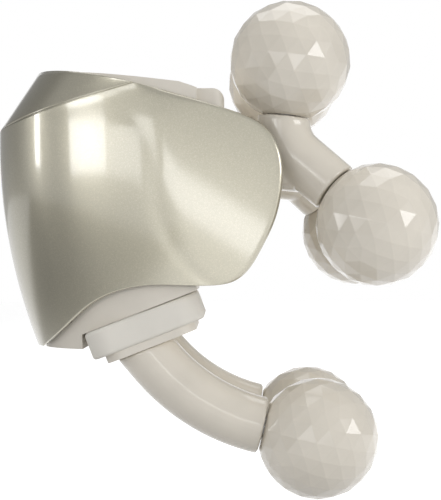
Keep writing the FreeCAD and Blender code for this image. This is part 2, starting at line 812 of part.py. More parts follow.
def upper_arm(name, side):
    """Hub on the upper shaft, a stem, and the bow between the top and middle necks."""
    path = bend_path(neck("top", side), elbow(side), neck("mid", side), s.elbow_bend)
    bow = round_tube(path, s.upper_tube_radius, neck("top", side), ball_axis("top", side))
    inner, outer = sorted((side * (s.hub_face_y - s.upper_hub_width), side * s.hub_face_y))
    hub = cross_rod(s.upper_hub_radius, s.upper_pivot_x, s.upper_pivot_z, inner, outer)
    root = Vector(s.upper_pivot_x, side * s.top_ball_y, s.upper_pivot_z)
    end = Vector(s.stem_end_x, side * s.top_ball_y, s.stem_end_z)
    stem = Part.makeCylinder(s.stem_radius, root.distanceToPoint(end), root, end - root)
    knuckle = Part.makeSphere(s.stem_radius, end)
    bore = cross_rod(s.shaft_seat, s.upper_pivot_x, s.upper_pivot_z, inner, outer)
    arm = bow.multiFuse([stem, knuckle, hub]).cut([bore, axle_hole("top", side), axle_hole("mid", side)])
    return node(feature("UpperArm_" + name, arm), "upper_arm_" + name)


def root_point(side):
    return Vector(s.root_x, side * s.low_ball_y, s.root_z)


def root_heading(side):
    return (low_bend(side) - root_point(side)).normalize()


def lower_arm(name, side):
    """Bent tube from the yoke's flange to the lower ball, on a spigot of the yoke."""
    heading = root_heading(side)
    start = root_point(side) - heading * s.collar_height
    path = bend_path(start, low_bend(side), neck("low", side), s.low_bend_radius)
    arm = round_tube(path, s.lower_tube_radius, start, heading)
    tools = [above_collar(-s.flange_thickness), spigot(side, s.press_clearance), axle_hole("low", side)]
    return node(feature("LowerArm_" + name, arm.cut(tools)), "lower_arm_" + name)


def above_collar(level):
    """All the space above a level of the collar's frame."""
    reach = s.shell_half_width
    space = Part.makeBox(2 * reach, 4 * reach, reach, Vector(-reach, -2 * reach, level))
    space.Placement = COLLAR_FRAME
    return space


def spigot(side, clearance):
    """The peg of the yoke that fills the root of a lower arm."""
    heading = root_heading(side)
    start = root_point(side) - heading * s.flange_thickness
    return Part.makeCylinder(s.lower_tube_radius - s.spigot_wall + clearance,
                             s.spigot_length + s.flange_thickness + clearance, start, heading)


def lower_yoke():
    """Flange under the collar, two legs up to hubs on the lower shaft, and two spigots for the arms."""
    flange = box("FlangeBlock", ("flange_length", "2 * flange_half_width", "flange_thickness"))
    within(flange, COLLAR_FRAME, (-s.flange_length / 2, -s.flange_half_width, -s.flange_thickness))
    flange = rounded("Flange", flange, s.flange_round, parallel_to(COLLAR_UP))
    under = box("UnderFlange", ("2 * flange_length", "2 * flange_half_width", "flange_length"))
    within(under, COLLAR_FRAME, (-s.flange_length, -s.flange_half_width,
                                 -s.flange_thickness - s.flange_length))
    legs = []
    for name, side in SIDES.items():
        low_y = "yoke_half_width" if side > 0 else "-hub_face_y"
        legs.append(rod("YokeHub_" + name, "yoke_hub_radius", "yoke_hub_width",
                        ("upper_pivot_x", low_y, "lower_pivot_z")))
        legs.append(box("YokeLeg_" + name, ("yoke_leg_depth", "yoke_hub_width", "lower_pivot_z"),
                        ("upper_pivot_x - yoke_leg_depth / 2", low_y, "0")))
    legs = cut("YokeLegs", fuse("YokeLegBlocks", legs), [under])
    flush = above_collar(-s.flange_thickness / 2)
    pegs = [feature("Spigot_" + name, spigot(side, 0).cut(flush)) for name, side in SIDES.items()]
    bore = rod("YokeBore", "shaft_seat", "2 * hub_face_y", ("upper_pivot_x", "-hub_face_y", "lower_pivot_z"))
    return node(cut("LowerYoke", fuse("YokeBlocks", [flange, legs] + pegs), [bore]), "lower_yoke")


def lower_boot():
    """Soft collar between the body and the flange, open at the top and through its floor."""
    block = box("CollarBlock", ("collar_length", "2 * collar_half_width", "collar_height"))
    within(block, COLLAR_FRAME, (-s.collar_length / 2, -s.collar_half_width, 0))
    block = rounded("CollarRounded", block, s.collar_round, parallel_to(COLLAR_UP))
    hollow = box("CollarHollow", ("collar_length - 2 * collar_wall", "2 * (collar_half_width - collar_wall)",
                                  "collar_height"))
    within(hollow, COLLAR_FRAME, (s.collar_wall - s.collar_length / 2, s.collar_wall - s.collar_half_width,
                                  s.collar_floor))
    hollow = rounded("CollarHollowRounded", hollow, s.collar_round - s.collar_wall, parallel_to(COLLAR_UP))
    mouth = box("CollarMouth", ("flange_length - 2 * collar_mouth_margin",
                                "2 * (flange_half_width - collar_mouth_margin)", "2 * collar_floor"))
    within(mouth, COLLAR_FRAME, (s.collar_mouth_margin - s.flange_length / 2,
                                 s.collar_mouth_margin - s.flange_half_width, -s.collar_floor))
    return node(cut("LowerBoot", block, [hollow, mouth]), "lower_boot")


def front_cover():
    """White block in front of the body, with a window for the stem of each upper arm."""
    block = box("CoverBlock", ("cover_depth", "2 * cover_half_width", "cover_top_z - cover_low_z"),
                ("body_front_x", "-cover_half_width", "cover_low_z"))

    def at_front(edge):
        return all(abs(vertex.X - s.cover_end_x) < 1e-6 for vertex in edge.Vertexes)

    block = rounded("CoverRounded", block, s.cover_round, at_front)
    hollow = box("CoverHollow", ("cover_depth - cover_wall", "2 * (cover_half_width - cover_wall)",
                                 "cover_top_z - cover_low_z - 2 * cover_wall"),
                 ("body_front_x", "cover_wall - cover_half_width", "cover_low_z + cover_wall"))
    windows = []
    window_size = ("2 * cover_depth", "2 * window_half_width", "2 * window_half_height")
    for name, side in SIDES.items():
        windows.append(box("CoverWindow_" + name, window_size,
                           ("body_front_x", "%d * top_ball_y - window_half_width" % side,
                            "window_z - window_half_height")))
    return node(cut("FrontCover", block, [hollow] + windows), "front_cover")


# Balls, with their axles, bushes and snap rings

def facet_sphere():
    """A ball of flat triangles: each face of an icosahedron in equal steps, pushed out to the radius."""
    ring_height = 1 / math.sqrt(5)
    ring_radius = 2 / math.sqrt(5)

    def ring_point(degrees, height):
        angle = math.radians(degrees)
        return Vector(ring_radius * math.cos(angle), ring_radius * math.sin(angle), height)

    upper = [ring_point(72 * n, ring_height) for n in range(5)]
    lower = [ring_point(72 * n + 36, -ring_height) for n in range(5)]
    top = Vector(0, 0, 1)
    bottom = Vector(0, 0, -1)
    faces = []
    for n in range(5):
        after = (n + 1) % 5
        faces += [(top, upper[n], upper[after]), (upper[n], lower[n], upper[after]),
                  (upper[after], lower[n], lower[after]), (lower[n], bottom, lower[after])]
    steps = int(s.facet_steps)
    triangles = []
    for a, b, c in faces:
        def point(i, j):
            return (a + (b - a) * (i / steps) + (c - a) * (j / steps)).normalize() * s.ball_radius
        for i in range(steps):
            for j in range(steps - i):
                triangles.append((point(i, j), point(i + 1, j), point(i, j + 1)))
                if i + j < steps - 1:
                    triangles.append((point(i + 1, j), point(i + 1, j + 1), point(i, j + 1)))
    shell = Part.makeShell([Part.Face(Part.makePolygon([a, b, c, a])) for a, b, c in triangles])
    return Part.makeSolid(shell)


def ball(row, name, side, sphere):
    """A faceted ball with a flat neck, bored for its bush and for the end of its axle."""
    shape = sphere.copy()
    shape.Placement = Placement(ball_centre(row, side), Rotation(Vector(0, 1, 0), s.facet_tilt))
    bush_end = s.bush_length - s.ball_flat
    past_neck = axle_rod(row, side, 2 * s.ball_radius, -2 * s.ball_radius, -s.ball_flat)
    seat = axle_rod(row, side, s.bush_radius + s.press_clearance, -s.ball_flat, bush_end)
    chamber = axle_rod(row, side, s.chamber_radius, bush_end, s.axle_reach + s.chamber_gap)
    label = "%s_ball_%s" % (row, name)
    node(feature(label.title(), shape.cut([past_neck, seat, chamber])), label)
    bush = axle_rod(row, side, s.bush_radius, -s.ball_flat, bush_end)
    bore = axle_rod(row, side, s.bush_bore, -s.ball_flat, bush_end)
    node(feature(label.title() + "_Bush", bush.cut(bore)), label + "_bush")


def axle(row, side):
    """Steel axle pressed in an arm's neck, with a groove for its snap ring."""
    pin = axle_rod(row, side, s.axle_radius, -s.ball_flat - s.neck_gap - s.axle_seat, s.axle_reach)
    start = s.bush_length - s.ball_flat + s.ring_gap
    groove = axle_rod(row, side, s.axle_radius, start, start + s.ring_width)
    core = axle_rod(row, side, s.groove_radius, start, start + s.ring_width)
    return pin.cut(groove).fuse(core).removeSplitter()


def snap_ring(row, side):
    start = s.bush_length - s.ball_flat + s.ring_gap
    ring = axle_rod(row, side, s.ring_radius, start, start + s.ring_width)
    return ring.cut(axle_rod(row, side, s.groove_radius + s.press_clearance, start, start + s.ring_width))


def ball_heads():
    sphere = facet_sphere()
    for row in ("top", "mid", "low"):
        for name, side in SIDES.items():
            ball(row, name, side, sphere)
    for claw, rows in (("upper", ("top", "mid")), ("lower", ("low",))):
        places = [(row, side) for row in rows for side in SIDES.values()]
        axles = Part.makeCompound([axle(row, side) for row, side in places])
        rings = Part.makeCompound([snap_ring(row, side) for row, side in places])
        node(feature(claw.title() + "Axles", axles), claw + "_axles")
        node(feature(claw.title() + "SnapRings", rings), claw + "_snap_rings")


# Top panel, button and board, in the frame of the slanted top

def top_box(name, dims, at):
    return within(box(name, dims), TOP_FRAME, at)


def top_rod(name, radius, length, at):
    item = doc.addObject("Part::Cylinder", name)
    bind(item, Radius=radius, Height=length)
    return within(item, TOP_FRAME, at)


def top_slot(name, sizes, grow, x, low, height):
    """An upright bar with round ends, grown all round by a margin, centred on a place along the top."""
    length, width = sizes
    straight = size[length] - size[width]
    radius = size[width] / 2 + grow
    ends = [top_rod(name + end, radius, height, (x + shift, 0, low))
            for end, shift in (("_back", -straight / 2), ("_front", straight / 2))]
    bar = top_box(name + "_bar", (length + " - " + width, 2 * radius, height),
                  (x - straight / 2, -radius, low))
    return fuse(name, [bar] + ends)


BUTTON_SIZES = ("button_length", "button_width")
PORT_SIZES = ("port_length", "port_depth")


def board_corners():
    near = s.board_start + s.board_boss_inset
    far = s.board_start + s.board_length - s.board_boss_inset
    reach = s.board_width / 2 - s.board_boss_inset
    return [(x, y) for x in (near, far) for y in (-reach, reach)]


def top_panel():
    """Raised panel with openings for button, port and light, and bosses for the board."""
    plate = top_box("PanelBlock", ("panel_length", "panel_width", "panel_thickness"),
                    (s.panel_start, -s.panel_half_width, 0))
    plate = rounded("PanelRounded", plate, s.panel_round, parallel_to(TOP_UP))
    deep = 3 * s.panel_thickness
    low = -s.panel_thickness
    holes = [top_slot("ButtonHole", BUTTON_SIZES, s.button_gap, s.button_centre, low, deep),
             top_slot("PortHole", PORT_SIZES, s.port_gap, s.port_centre, low, deep),
             top_rod("LightHole", "light_radius + light_gap", deep, (s.light_centre, 0, low))]
    bosses = []
    for number, (x, y) in enumerate(board_corners()):
        boss = top_rod("BoardBoss%d" % number, "board_boss_radius", "board_depth", (x, y, -s.board_depth))
        hole = top_rod("BoardBossHole%d" % number, "board_screw_seat", "board_screw_length",
                       (x, y, -s.board_depth - s.board_thickness))
        bosses.append(cut("BoardPost%d" % number, boss, [hole]))
    return node(fuse("TopPanel", [cut("PanelPlate", plate, holes)] + bosses), "top_panel")


def power_button():
    """Oval button with a lip under the panel and a short stem on the switch's plunger."""
    face = top_slot("ButtonFace", BUTTON_SIZES, 0, s.button_centre, -s.button_floor,
                    "button_floor + panel_thickness + button_rise")
    lip = top_slot("ButtonLip", BUTTON_SIZES, s.button_lip, s.button_centre, -s.button_floor,
                   "button_lip_height")
    stem = top_rod("ButtonStem", "plunger_radius", "plunger_top - button_floor",
                   (s.button_centre, 0, -s.plunger_top))
    return node(fuse("PowerButton", [face, lip, stem]), "power_button")


def switch():
    half = s.switch_size / 2
    case = top_box("SwitchCase", ("switch_size", "switch_size", "switch_height"),
                   (s.button_centre - half, -half, -s.board_depth))
    lid = s.switch_height - s.board_depth
    hole = top_rod("SwitchHole", "plunger_radius + plunger_gap", "plunger_hole",
                   (s.button_centre, 0, lid - s.plunger_hole))
    node(cut("TactSwitch", case, [hole]), "tact_switch")
    node(top_rod("SwitchPlunger", "plunger_radius", "plunger_rise + plunger_depth",
                 (s.button_centre, 0, lid - s.plunger_depth)), "switch_plunger")


def usb_port():
    """Upright charging port on the board: a thin round-ended can with a tongue inside."""
    height = "board_depth + panel_thickness"
    can = top_slot("PortCan", PORT_SIZES, 0, s.port_centre, -s.board_depth, height)
    well = top_slot("PortWell", PORT_SIZES, -s.port_wall, s.port_centre, s.port_floor - s.board_depth,
                    height)
    tongue = top_box("PortTongue", ("port_tongue_length", "port_tongue_width", "board_depth"),
                     (s.port_centre - s.port_tongue_length / 2, -s.port_tongue_width / 2, -s.board_depth))
    return node(fuse("UsbPort", [cut("PortShell", can, [well]), tongue]), "usb_port")


def circuit_board():
    board = top_box("BoardPlate", ("board_length", "board_width", "board_thickness"),
                    (s.board_start, -s.board_width / 2, -s.board_depth - s.board_thickness))
    holes = []
    screws = []
    for number, (x, y) in enumerate(board_corners()):
        under = -s.board_depth - s.board_thickness
        holes.append(top_rod("BoardHole%d" % number, "board_screw_seat", "2 * board_thickness",
                             (x, y, under - s.board_thickness)))
        shank = top_rod("BoardShank%d" % number, "board_screw_radius", "board_screw_length", (x, y, under))
        head = top_rod("BoardHead%d" % number, "board_screw_head", "board_screw_head_height",
                       (x, y, under - s.board_screw_head_height))
        screws.append(fuse("BoardScrew%d" % number, [shank, head]))
    node(cut("CircuitBoard", board, holes), "circuit_board")
    node(group("BoardScrews", screws), "board_screws")


def status_light():
    """Round light guide in the panel, down to the board."""
    return node(top_rod("StatusLight", "light_radius", "board_depth + panel_thickness",
                        (s.light_centre, 0, -s.board_depth)), "status_light")


def build():
    outer_shell()
    for name, side in SIDES.items():
        body_half(name, side)
    body_screws()
    front_cover()
    gear_frame()
    shafts()
    sector("upper_sector", s.upper_pivot_z, -90, 180 - s.mesh_arc, 270 + s.mesh_arc)
    sector("lower_sector", s.lower_pivot_z, 90 + 180 / s.sector_teeth, 90 - s.mesh_arc, 90 + s.mesh_arc)
    drive_pinion()
    gearmotor()
    battery()
    for name, side in SIDES.items():
        upper_arm(name, side)
        lower_arm(name, side)
    lower_yoke()
    lower_boot()
    ball_heads()
    top_panel()
    power_button()
    switch()
    usb_port()
    circuit_board()
    status_light()


def check_and_write():
    """Stops on any failed object, then writes each piece to its own file."""
    doc.recompute()
    for item in doc.Objects:
        if "Invalid" in item.State or "Error" in item.State:
            raise RuntimeError("%s failed: %s" % (item.Label, item.State))
    for item in NODES:
        if item.Shape.isNull() or not item.Shape.isValid() or not item.Shape.Solids:
            raise RuntimeError("%s has no valid solid" % item.Label)
    os.makedirs("parts", exist_ok=True)
    for item in NODES:
        item.Shape.exportStep("parts/%s.step" % item.Label)
        print("%-20s %d solids %10.1f mm3" % (item.Label, len(item.Shape.Solids), item.Shape.Volume))


build()
check_and_write()
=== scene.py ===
import json
import math

import bmesh
import bpy
from mathutils import Matrix, Vector


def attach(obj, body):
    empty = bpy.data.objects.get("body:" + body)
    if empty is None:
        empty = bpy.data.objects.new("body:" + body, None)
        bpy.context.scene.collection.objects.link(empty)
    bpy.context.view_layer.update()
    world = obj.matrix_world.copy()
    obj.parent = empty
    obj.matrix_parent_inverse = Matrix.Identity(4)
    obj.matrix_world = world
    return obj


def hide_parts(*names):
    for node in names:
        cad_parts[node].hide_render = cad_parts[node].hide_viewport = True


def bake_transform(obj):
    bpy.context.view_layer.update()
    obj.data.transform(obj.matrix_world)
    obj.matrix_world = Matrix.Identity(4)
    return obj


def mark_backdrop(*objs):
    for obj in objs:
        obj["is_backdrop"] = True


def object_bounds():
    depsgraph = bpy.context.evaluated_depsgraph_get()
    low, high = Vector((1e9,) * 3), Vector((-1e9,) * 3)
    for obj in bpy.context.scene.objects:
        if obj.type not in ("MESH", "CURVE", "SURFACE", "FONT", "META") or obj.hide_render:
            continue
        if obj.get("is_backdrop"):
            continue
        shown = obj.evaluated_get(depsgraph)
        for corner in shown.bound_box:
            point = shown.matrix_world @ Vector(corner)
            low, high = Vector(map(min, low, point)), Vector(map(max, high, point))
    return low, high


# Kneading head massager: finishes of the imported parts, the shapes modelled over them, camera and light.
# Sizes are in millimetres unless a comment says metres. X points from the shell's nose to the balls, Z up.

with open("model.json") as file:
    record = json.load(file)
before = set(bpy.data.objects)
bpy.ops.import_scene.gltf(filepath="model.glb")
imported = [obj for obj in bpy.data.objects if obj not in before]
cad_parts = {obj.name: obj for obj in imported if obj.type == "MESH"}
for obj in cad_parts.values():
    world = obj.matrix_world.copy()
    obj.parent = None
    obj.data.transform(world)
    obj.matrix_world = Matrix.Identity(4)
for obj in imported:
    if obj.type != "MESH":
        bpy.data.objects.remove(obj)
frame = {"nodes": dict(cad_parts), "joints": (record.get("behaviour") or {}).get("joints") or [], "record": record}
cad_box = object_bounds()
nodes = frame["nodes"]
bodies = frame["record"]["behaviour"]["bodies"]
joints = {joint["name"]: joint for joint in frame["joints"]}
MM = 0.001


def srgb(red, green, blue):
    """Linear colour of an sRGB triple given in 0 to 255."""
    def linear(value):
        value /= 255
        return value / 12.92 if value <= 0.04045 else ((value + 0.055) / 1.055) ** 2.4

    return (linear(red), linear(green), linear(blue), 1.0)


def shaded(colour, factor):
    return tuple(channel * factor for channel in colour[:3]) + (1.0,)


def add_object(name, data):
    item = bpy.data.objects.new(name, data)
    bpy.context.scene.collection.objects.link(item)
    return item


# Shader nodes

# Noise values lie mostly between these two
NOISE_LOW = 0.3
NOISE_HIGH = 0.7
NOISE_DETAIL = 3.0


def new_material(name):
    """A material with its node tree, its shader and the place on the object."""
    material = bpy.data.materials.new(name)
    material.use_nodes = True
    tree = material.node_tree
    shader = tree.nodes["Principled BSDF"]
    place = tree.nodes.new("ShaderNodeTexCoord")
    return material, tree, shader, place.outputs["Object"]


def set_sockets(shader, values):
    for socket, value in values.items():
        shader.inputs[socket].default_value = value


def link_surface(tree, shader, colour, roughness, normal):
    tree.links.new(colour, shader.inputs["Base Color"])
    tree.links.new(roughness, shader.inputs["Roughness"])
    tree.links.new(normal, shader.inputs["Normal"])


def noise(tree, place, scale):
    texture = tree.nodes.new("ShaderNodeTexNoise")
    texture.inputs["Scale"].default_value = scale
    texture.inputs["Detail"].default_value = NOISE_DETAIL
    tree.links.new(place, texture.inputs["Vector"])
    return texture.outputs["Fac"]


def ramp(tree, source, stops):
    """A colour ramp over a source, from pairs of place and colour."""
    node = tree.nodes.new("ShaderNodeValToRGB")
    elements = node.color_ramp.elements
    while len(elements) < len(stops):
        elements.new(0.5)
    for element, (place, colour) in zip(elements, stops):
        element.position = place
        element.color = colour
    tree.links.new(source, node.inputs["Fac"])
    return node.outputs["Color"]


def map_range(tree, source, low, high, at_low, at_high, kind):
    """A source between two places, carried to two values."""
    node = tree.nodes.new("ShaderNodeMapRange")
    node.interpolation_type = kind
    node.inputs["From Min"].default_value = low
    node.inputs["From Max"].default_value = high
    node.inputs["To Min"].default_value = at_low
    node.inputs["To Max"].default_value = at_high
    tree.links.new(source, node.inputs["Value"])
    return node.outputs["Result"]


def spread(tree, source, at_low, at_high):
    """A noise spread between two values."""
    return map_range(tree, source, NOISE_LOW, NOISE_HIGH, at_low, at_high, "LINEAR")


def smooth_range(tree, source, low, high, at_low, at_high):
    """A source between two places, carried smoothly to two values."""
    return map_range(tree, source, low, high, at_low, at_high, "SMOOTHSTEP")


def arithmetic(tree, operation, first, second):
    node = tree.nodes.new("ShaderNodeMath")
    node.operation = operation
    tree.links.new(first, node.inputs[0])
    tree.links.new(second, node.inputs[1])
    return node.outputs["Value"]


def bump(tree, source, strength, distance):
    """A normal that follows the heights of a source, with its distance in metres."""
    node = tree.nodes.new("ShaderNodeBump")
    node.inputs["Strength"].default_value = strength
    node.inputs["Distance"].default_value = distance
    tree.links.new(source, node.inputs["Height"])
    return node.outputs["Normal"]


def axes_of(tree, place):
    node = tree.nodes.new("ShaderNodeSeparateXYZ")
    tree.links.new(place, node.inputs["Vector"])
    return node.outputs["X"], node.outputs["Y"], node.outputs["Z"]


def ray_kinds(tree):
    """Whether the camera sees a point, straight or through glass, and whether a reflection does."""
    path = tree.nodes.new("ShaderNodeLightPath")
    seen = arithmetic(tree, "MAXIMUM", path.outputs["Is Camera Ray"], path.outputs["Is Transmission Ray"])
    return seen, path.outputs["Is Glossy Ray"]


# Materials

MOTTLE_SCALE = 60.0
MOTTLE_TINT = 0.04
GLOSS_SCALE = 220.0
GLOSS_LOW = 0.85
GLOSS_HIGH = 1.15
GRAIN_STRENGTH = 0.25
PLASTIC_SOCKETS = {"Coat Roughness": 0.06, "IOR": 1.48}

FLAKE_SCALE = 4200.0
# Places in the flakes' ramp, and the shade at each
FLAKE_SHADES = ((0.0, 0.94), (0.7, 1.0), (1.0, 1.12))
FLAKE_STRENGTH = 0.05
FLAKE_DEPTH = 0.00001
PEARL_ROUGHNESS = (0.30, 0.36)
PEARL_SOCKETS = {"Metallic": 0.84, "Coat Weight": 1.0, "Coat Roughness": 0.1, "Coat IOR": 1.95}

STREAK_STRETCH = (40.0, 900.0, 900.0)
STREAK_SCALE = 3.0
STREAK_DARK = 0.85
STREAK_LIGHT = 1.1
STREAK_SMOOTH = 0.8
STREAK_ROUGH = 1.3
STREAK_STRENGTH = 0.1
STREAK_DEPTH = 0.00002


def moulded(name, colour, roughness, coat=0.0, grain=2500.0, depth=0.00001):
    """Moulded plastic: slight mottling, uneven gloss and a fine skin texture."""
    material, tree, shader, place = new_material(name)
    mottle = ramp(tree, noise(tree, place, MOTTLE_SCALE), [(NOISE_LOW, shaded(colour, 1 - MOTTLE_TINT)),
                                                           (NOISE_HIGH, shaded(colour, 1 + MOTTLE_TINT))])
    gloss = spread(tree, noise(tree, place, GLOSS_SCALE), roughness * GLOSS_LOW, roughness * GLOSS_HIGH)
    skin = bump(tree, noise(tree, place, grain), GRAIN_STRENGTH, depth)
    link_surface(tree, shader, mottle, gloss, skin)
    set_sockets(shader, PLASTIC_SOCKETS)
    shader.inputs["Coat Weight"].default_value = coat
    return material


def pearl(name, colour):
    """Champagne paint with fine metal flakes under a clear coat."""
    material, tree, shader, place = new_material(name)
    flakes = tree.nodes.new("ShaderNodeTexVoronoi")
    flakes.inputs["Scale"].default_value = FLAKE_SCALE
    tree.links.new(place, flakes.inputs["Vector"])
    split = tree.nodes.new("ShaderNodeSeparateColor")
    tree.links.new(flakes.outputs["Color"], split.inputs["Color"])
    tone = ramp(tree, split.outputs["Red"], [(stop, shaded(colour, shade)) for stop, shade in FLAKE_SHADES])
    gloss = spread(tree, split.outputs["Green"], *PEARL_ROUGHNESS)
    tilt = bump(tree, split.outputs["Blue"], FLAKE_STRENGTH, FLAKE_DEPTH)
    link_surface(tree, shader, tone, gloss, tilt)
    set_sockets(shader, PEARL_SOCKETS)
    return material


def metal(name, colour, roughness):
    """Drawn or turned metal with fine streaks along X."""
    material, tree, shader, place = new_material(name)
    scaled = tree.nodes.new("ShaderNodeMapping")
    scaled.inputs["Scale"].default_value = STREAK_STRETCH
    tree.links.new(place, scaled.inputs["Vector"])
    streaks = noise(tree, scaled.outputs["Vector"], STREAK_SCALE)
    tone = ramp(tree, streaks, [(NOISE_LOW, shaded(colour, STREAK_DARK)),
                                (NOISE_HIGH, shaded(colour, STREAK_LIGHT))])
    gloss = spread(tree, streaks, roughness * STREAK_SMOOTH, roughness * STREAK_ROUGH)
    link_surface(tree, shader, tone, gloss, bump(tree, streaks, STREAK_STRENGTH, STREAK_DEPTH))
    shader.inputs["Metallic"].default_value = 1.0
    return material


WHITE = srgb(225, 218, 205)
LOOKS = {
    "pearl_paint": pearl("pearl_paint", srgb(184, 179, 160)),
    "white_plastic": moulded("white_plastic", srgb(226, 220, 209), 0.42),
    "arm_plastic": moulded("arm_plastic", WHITE, 0.18, coat=0.5, grain=900.0),
    "ball_plastic": moulded("ball_plastic", WHITE, 0.2, coat=0.7, grain=900.0),
    "button_plastic": moulded("button_plastic", srgb(226, 223, 216), 0.45),
    "soft_white": moulded("soft_white", srgb(230, 226, 217), 0.62, grain=3500.0, depth=0.00003),
    "plate_steel": metal("plate_steel", srgb(190, 192, 196), 0.35),
    "shaft_steel": metal("shaft_steel", srgb(205, 206, 210), 0.22),
    "screw_steel": metal("screw_steel", srgb(175, 176, 180), 0.3),
    "motor_steel": metal("motor_steel", srgb(196, 196, 198), 0.3),
    "port_steel": metal("port_steel", srgb(198, 200, 203), 0.26),
    "bush_brass": metal("bush_brass", srgb(205, 170, 92), 0.35),
    "pinion_brass": metal("pinion_brass", srgb(210, 176, 98), 0.28),
    "gear_plastic": moulded("gear_plastic", srgb(232, 230, 222), 0.4),
    "battery_wrap": moulded("battery_wrap", srgb(66, 100, 150), 0.35, coat=0.2),
    "dark_plastic": moulded("dark_plastic", srgb(40, 40, 42), 0.45),
    "board_green": moulded("board_green", srgb(28, 104, 66), 0.35, coat=0.3),
    "light_guide": moulded("light_guide", srgb(226, 230, 232), 0.2, coat=0.4),
}
SLOTS = {part["node"]: part["material_slot"] for part in frame["record"]["subparts"]}


# Mesh helpers

def piece(name, points, faces, stands_for, sharp=None):
    """A mesh from points in millimetres that stands for a node."""
    mesh = bpy.data.meshes.new(name)
    mesh.from_pydata([Vector(point) * MM for point in points], [], faces)
    return dress(name, mesh, stands_for, sharp)


def dress(name, mesh, stands_for, sharp=None):
    """A smooth object with the finish of the node that it stands for, sharp over an angle in degrees."""
    mesh.validate()
    item = add_object(name, mesh)
    slot = SLOTS[stands_for]
    mesh.materials.append(LOOKS[slot])
    mesh.shade_smooth()
    if sharp is not None:
        mesh.set_sharp_from_angle(angle=math.radians(sharp))
    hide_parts(stands_for)
    return item


def soften(item, width, angle=35.0, segments=3):
    """Rounds the edges of a piece where its faces turn by more than an angle in degrees."""
    edge = item.modifiers.new("edges", "BEVEL")
    edge.width = width * MM
    edge.segments = segments
    edge.limit_method = "ANGLE"
    edge.angle_limit = math.radians(angle)
    edge.harden_normals = True


# Smooth lines

SPAN_STEPS = 24
SHORTEST = 1e-9


def measured(points):
    """Distance along a line at each of its points."""
    lengths = [0.0]
    for a, b in zip(points, points[1:]):
        lengths.append(lengths[-1] + math.dist(a, b))
    return lengths


def points_at(points, lengths, goals):
    """Points of a line at rising distances along it."""
    result = []
    span = 0
    for goal in goals:
        while span < len(points) - 2 and lengths[span + 1] < goal:
            span += 1
        width = lengths[span + 1] - lengths[span]
        share = (goal - lengths[span]) / width if width > SHORTEST else 0.0
        result.append(tuple(a + (b - a) * share for a, b in zip(points[span], points[span + 1])))
    return result


def resample(points, count):
    """The same line in equal steps."""
    lengths = measured(points)
    return points_at(points, lengths, [lengths[-1] * step / (count - 1) for step in range(count)])


def spline(points):
    """Smooth curve through points, like a bent batten, in the same number of steps for each span."""
    chords = measured(points)
    slopes = [natural_slopes(chords, values) for values in zip(*points)]
    result = []
    for span in range(len(points) - 1):
        width = chords[span + 1] - chords[span]
        for step in range(SPAN_STEPS):
            result.append(hermite(points, slopes, span, width, step / SPAN_STEPS))
    result.append(tuple(points[-1]))
    return result


def hermite(points, slopes, span, width, t):
    """A point in one span of a curve, from the points and slopes at the span's two ends."""
    here = 2 * t ** 3 - 3 * t ** 2 + 1
    leaving = t ** 3 - 2 * t ** 2 + t
    there = -2 * t ** 3 + 3 * t ** 2
    arriving = t ** 3 - t ** 2
    return tuple(here * points[span][k] + leaving * width * slopes[k][span] + there * points[span + 1][k]
                 + arriving * width * slopes[k][span + 1] for k in range(len(slopes)))


def natural_slopes(places, values):
    """Slopes at the knots of a natural cubic spline."""
    count = len(places)
    steps = [places[n + 1] - places[n] for n in range(count - 1)]
    rises = [(values[n + 1] - values[n]) / steps[n] for n in range(count - 1)]
    lower = [0.0] + [1 / steps[n - 1] for n in range(1, count)]
    upper = [1 / steps[n] for n in range(count - 1)] + [0.0]
    middle = [2 * (lower[n] + upper[n]) for n in range(count)]
    right = [0.0] * count
    for n in range(count):
        before = 3 * rises[n - 1] / steps[n - 1] if n > 0 else 0.0
        after = 3 * rises[n] / steps[n] if n < count - 1 else 0.0
        right[n] = before + after
    for n in range(1, count):
        share = lower[n] / middle[n - 1]
        middle[n] -= share * upper[n - 1]
        right[n] -= share * right[n - 1]
    slopes = [0.0] * count
    slopes[-1] = right[-1] / middle[-1]
    for n in range(count - 2, -1, -1):
        slopes[n] = (right[n] - upper[n] * slopes[n + 1]) / middle[n]
    return slopes


# Pearl shell

# Curves of the solid that it stands for: nose in the side view, flank in plan, brow
HALF_WIDTH = 49.5
CROWN = 2.5
CROWN_Z = 52.0
NOSE_X = -25.0
NOSE_Z = 74.0
NOSE_RECESS = 14.4
NOSE_POWER = 2.0
PLAN_POWER = 2.25
CHEEK_X = 45.0
BROW_Z = 77.8
BROW_RISE = math.tan(math.radians(15.5))
BROW_TOP = (-10.7, 98.9)
SHELL_WALL = 2.4
# A place above the whole shell, up to which the bevel's slope is drawn before it is cut
CREST_X = 90.0
CREST_LIFT = 4.0
# Side outline of the wing as x and z, with the height at the nose of the row of skin that ends there
WING = [(10.0, 95.6, 79.0), (29.0, 91.2, 77.0), (59.4, 82.4, 73.5), (71.6, 76.6, 69.5), (76.8, 67.5, 64.0),
        (77.3, 57.0, 58.0), (74.8, 44.7, 51.5), (70.0, 34.5, 45.5), (65.9, 27.9, 41.0), (61.0, 23.9, 37.5),
        (54.3, 22.4, 33.5), (32.2, 22.5, 24.5), (11.8, 15.9, 13.0), (1.6, 7.3, 5.8)]
WING_TIP = (-7.0, 0.6)
NOSE_LIFT = 4.0
# How far the wing leans in at its end
WING_INWARD = 1.5
WING_END = 77.0
# Course of the shallow valley between cheek and wing, as z and x
VALLEY = [(20.0, 57.0), (22.6, 53.5), (25.5, 49.0), (29.4, 44.6), (35.0, 40.6), (41.3, 37.4), (50.0, 34.4),
          (58.3, 33.0), (65.0, 32.6), (72.0, 31.2), (78.0, 28.6), (84.0, 24.5), (92.0, 18.5)]
VALLEY_START_X = 15.0
VALLEY_DEPTH = 0.12
VALLEY_WIDTH = 3.2
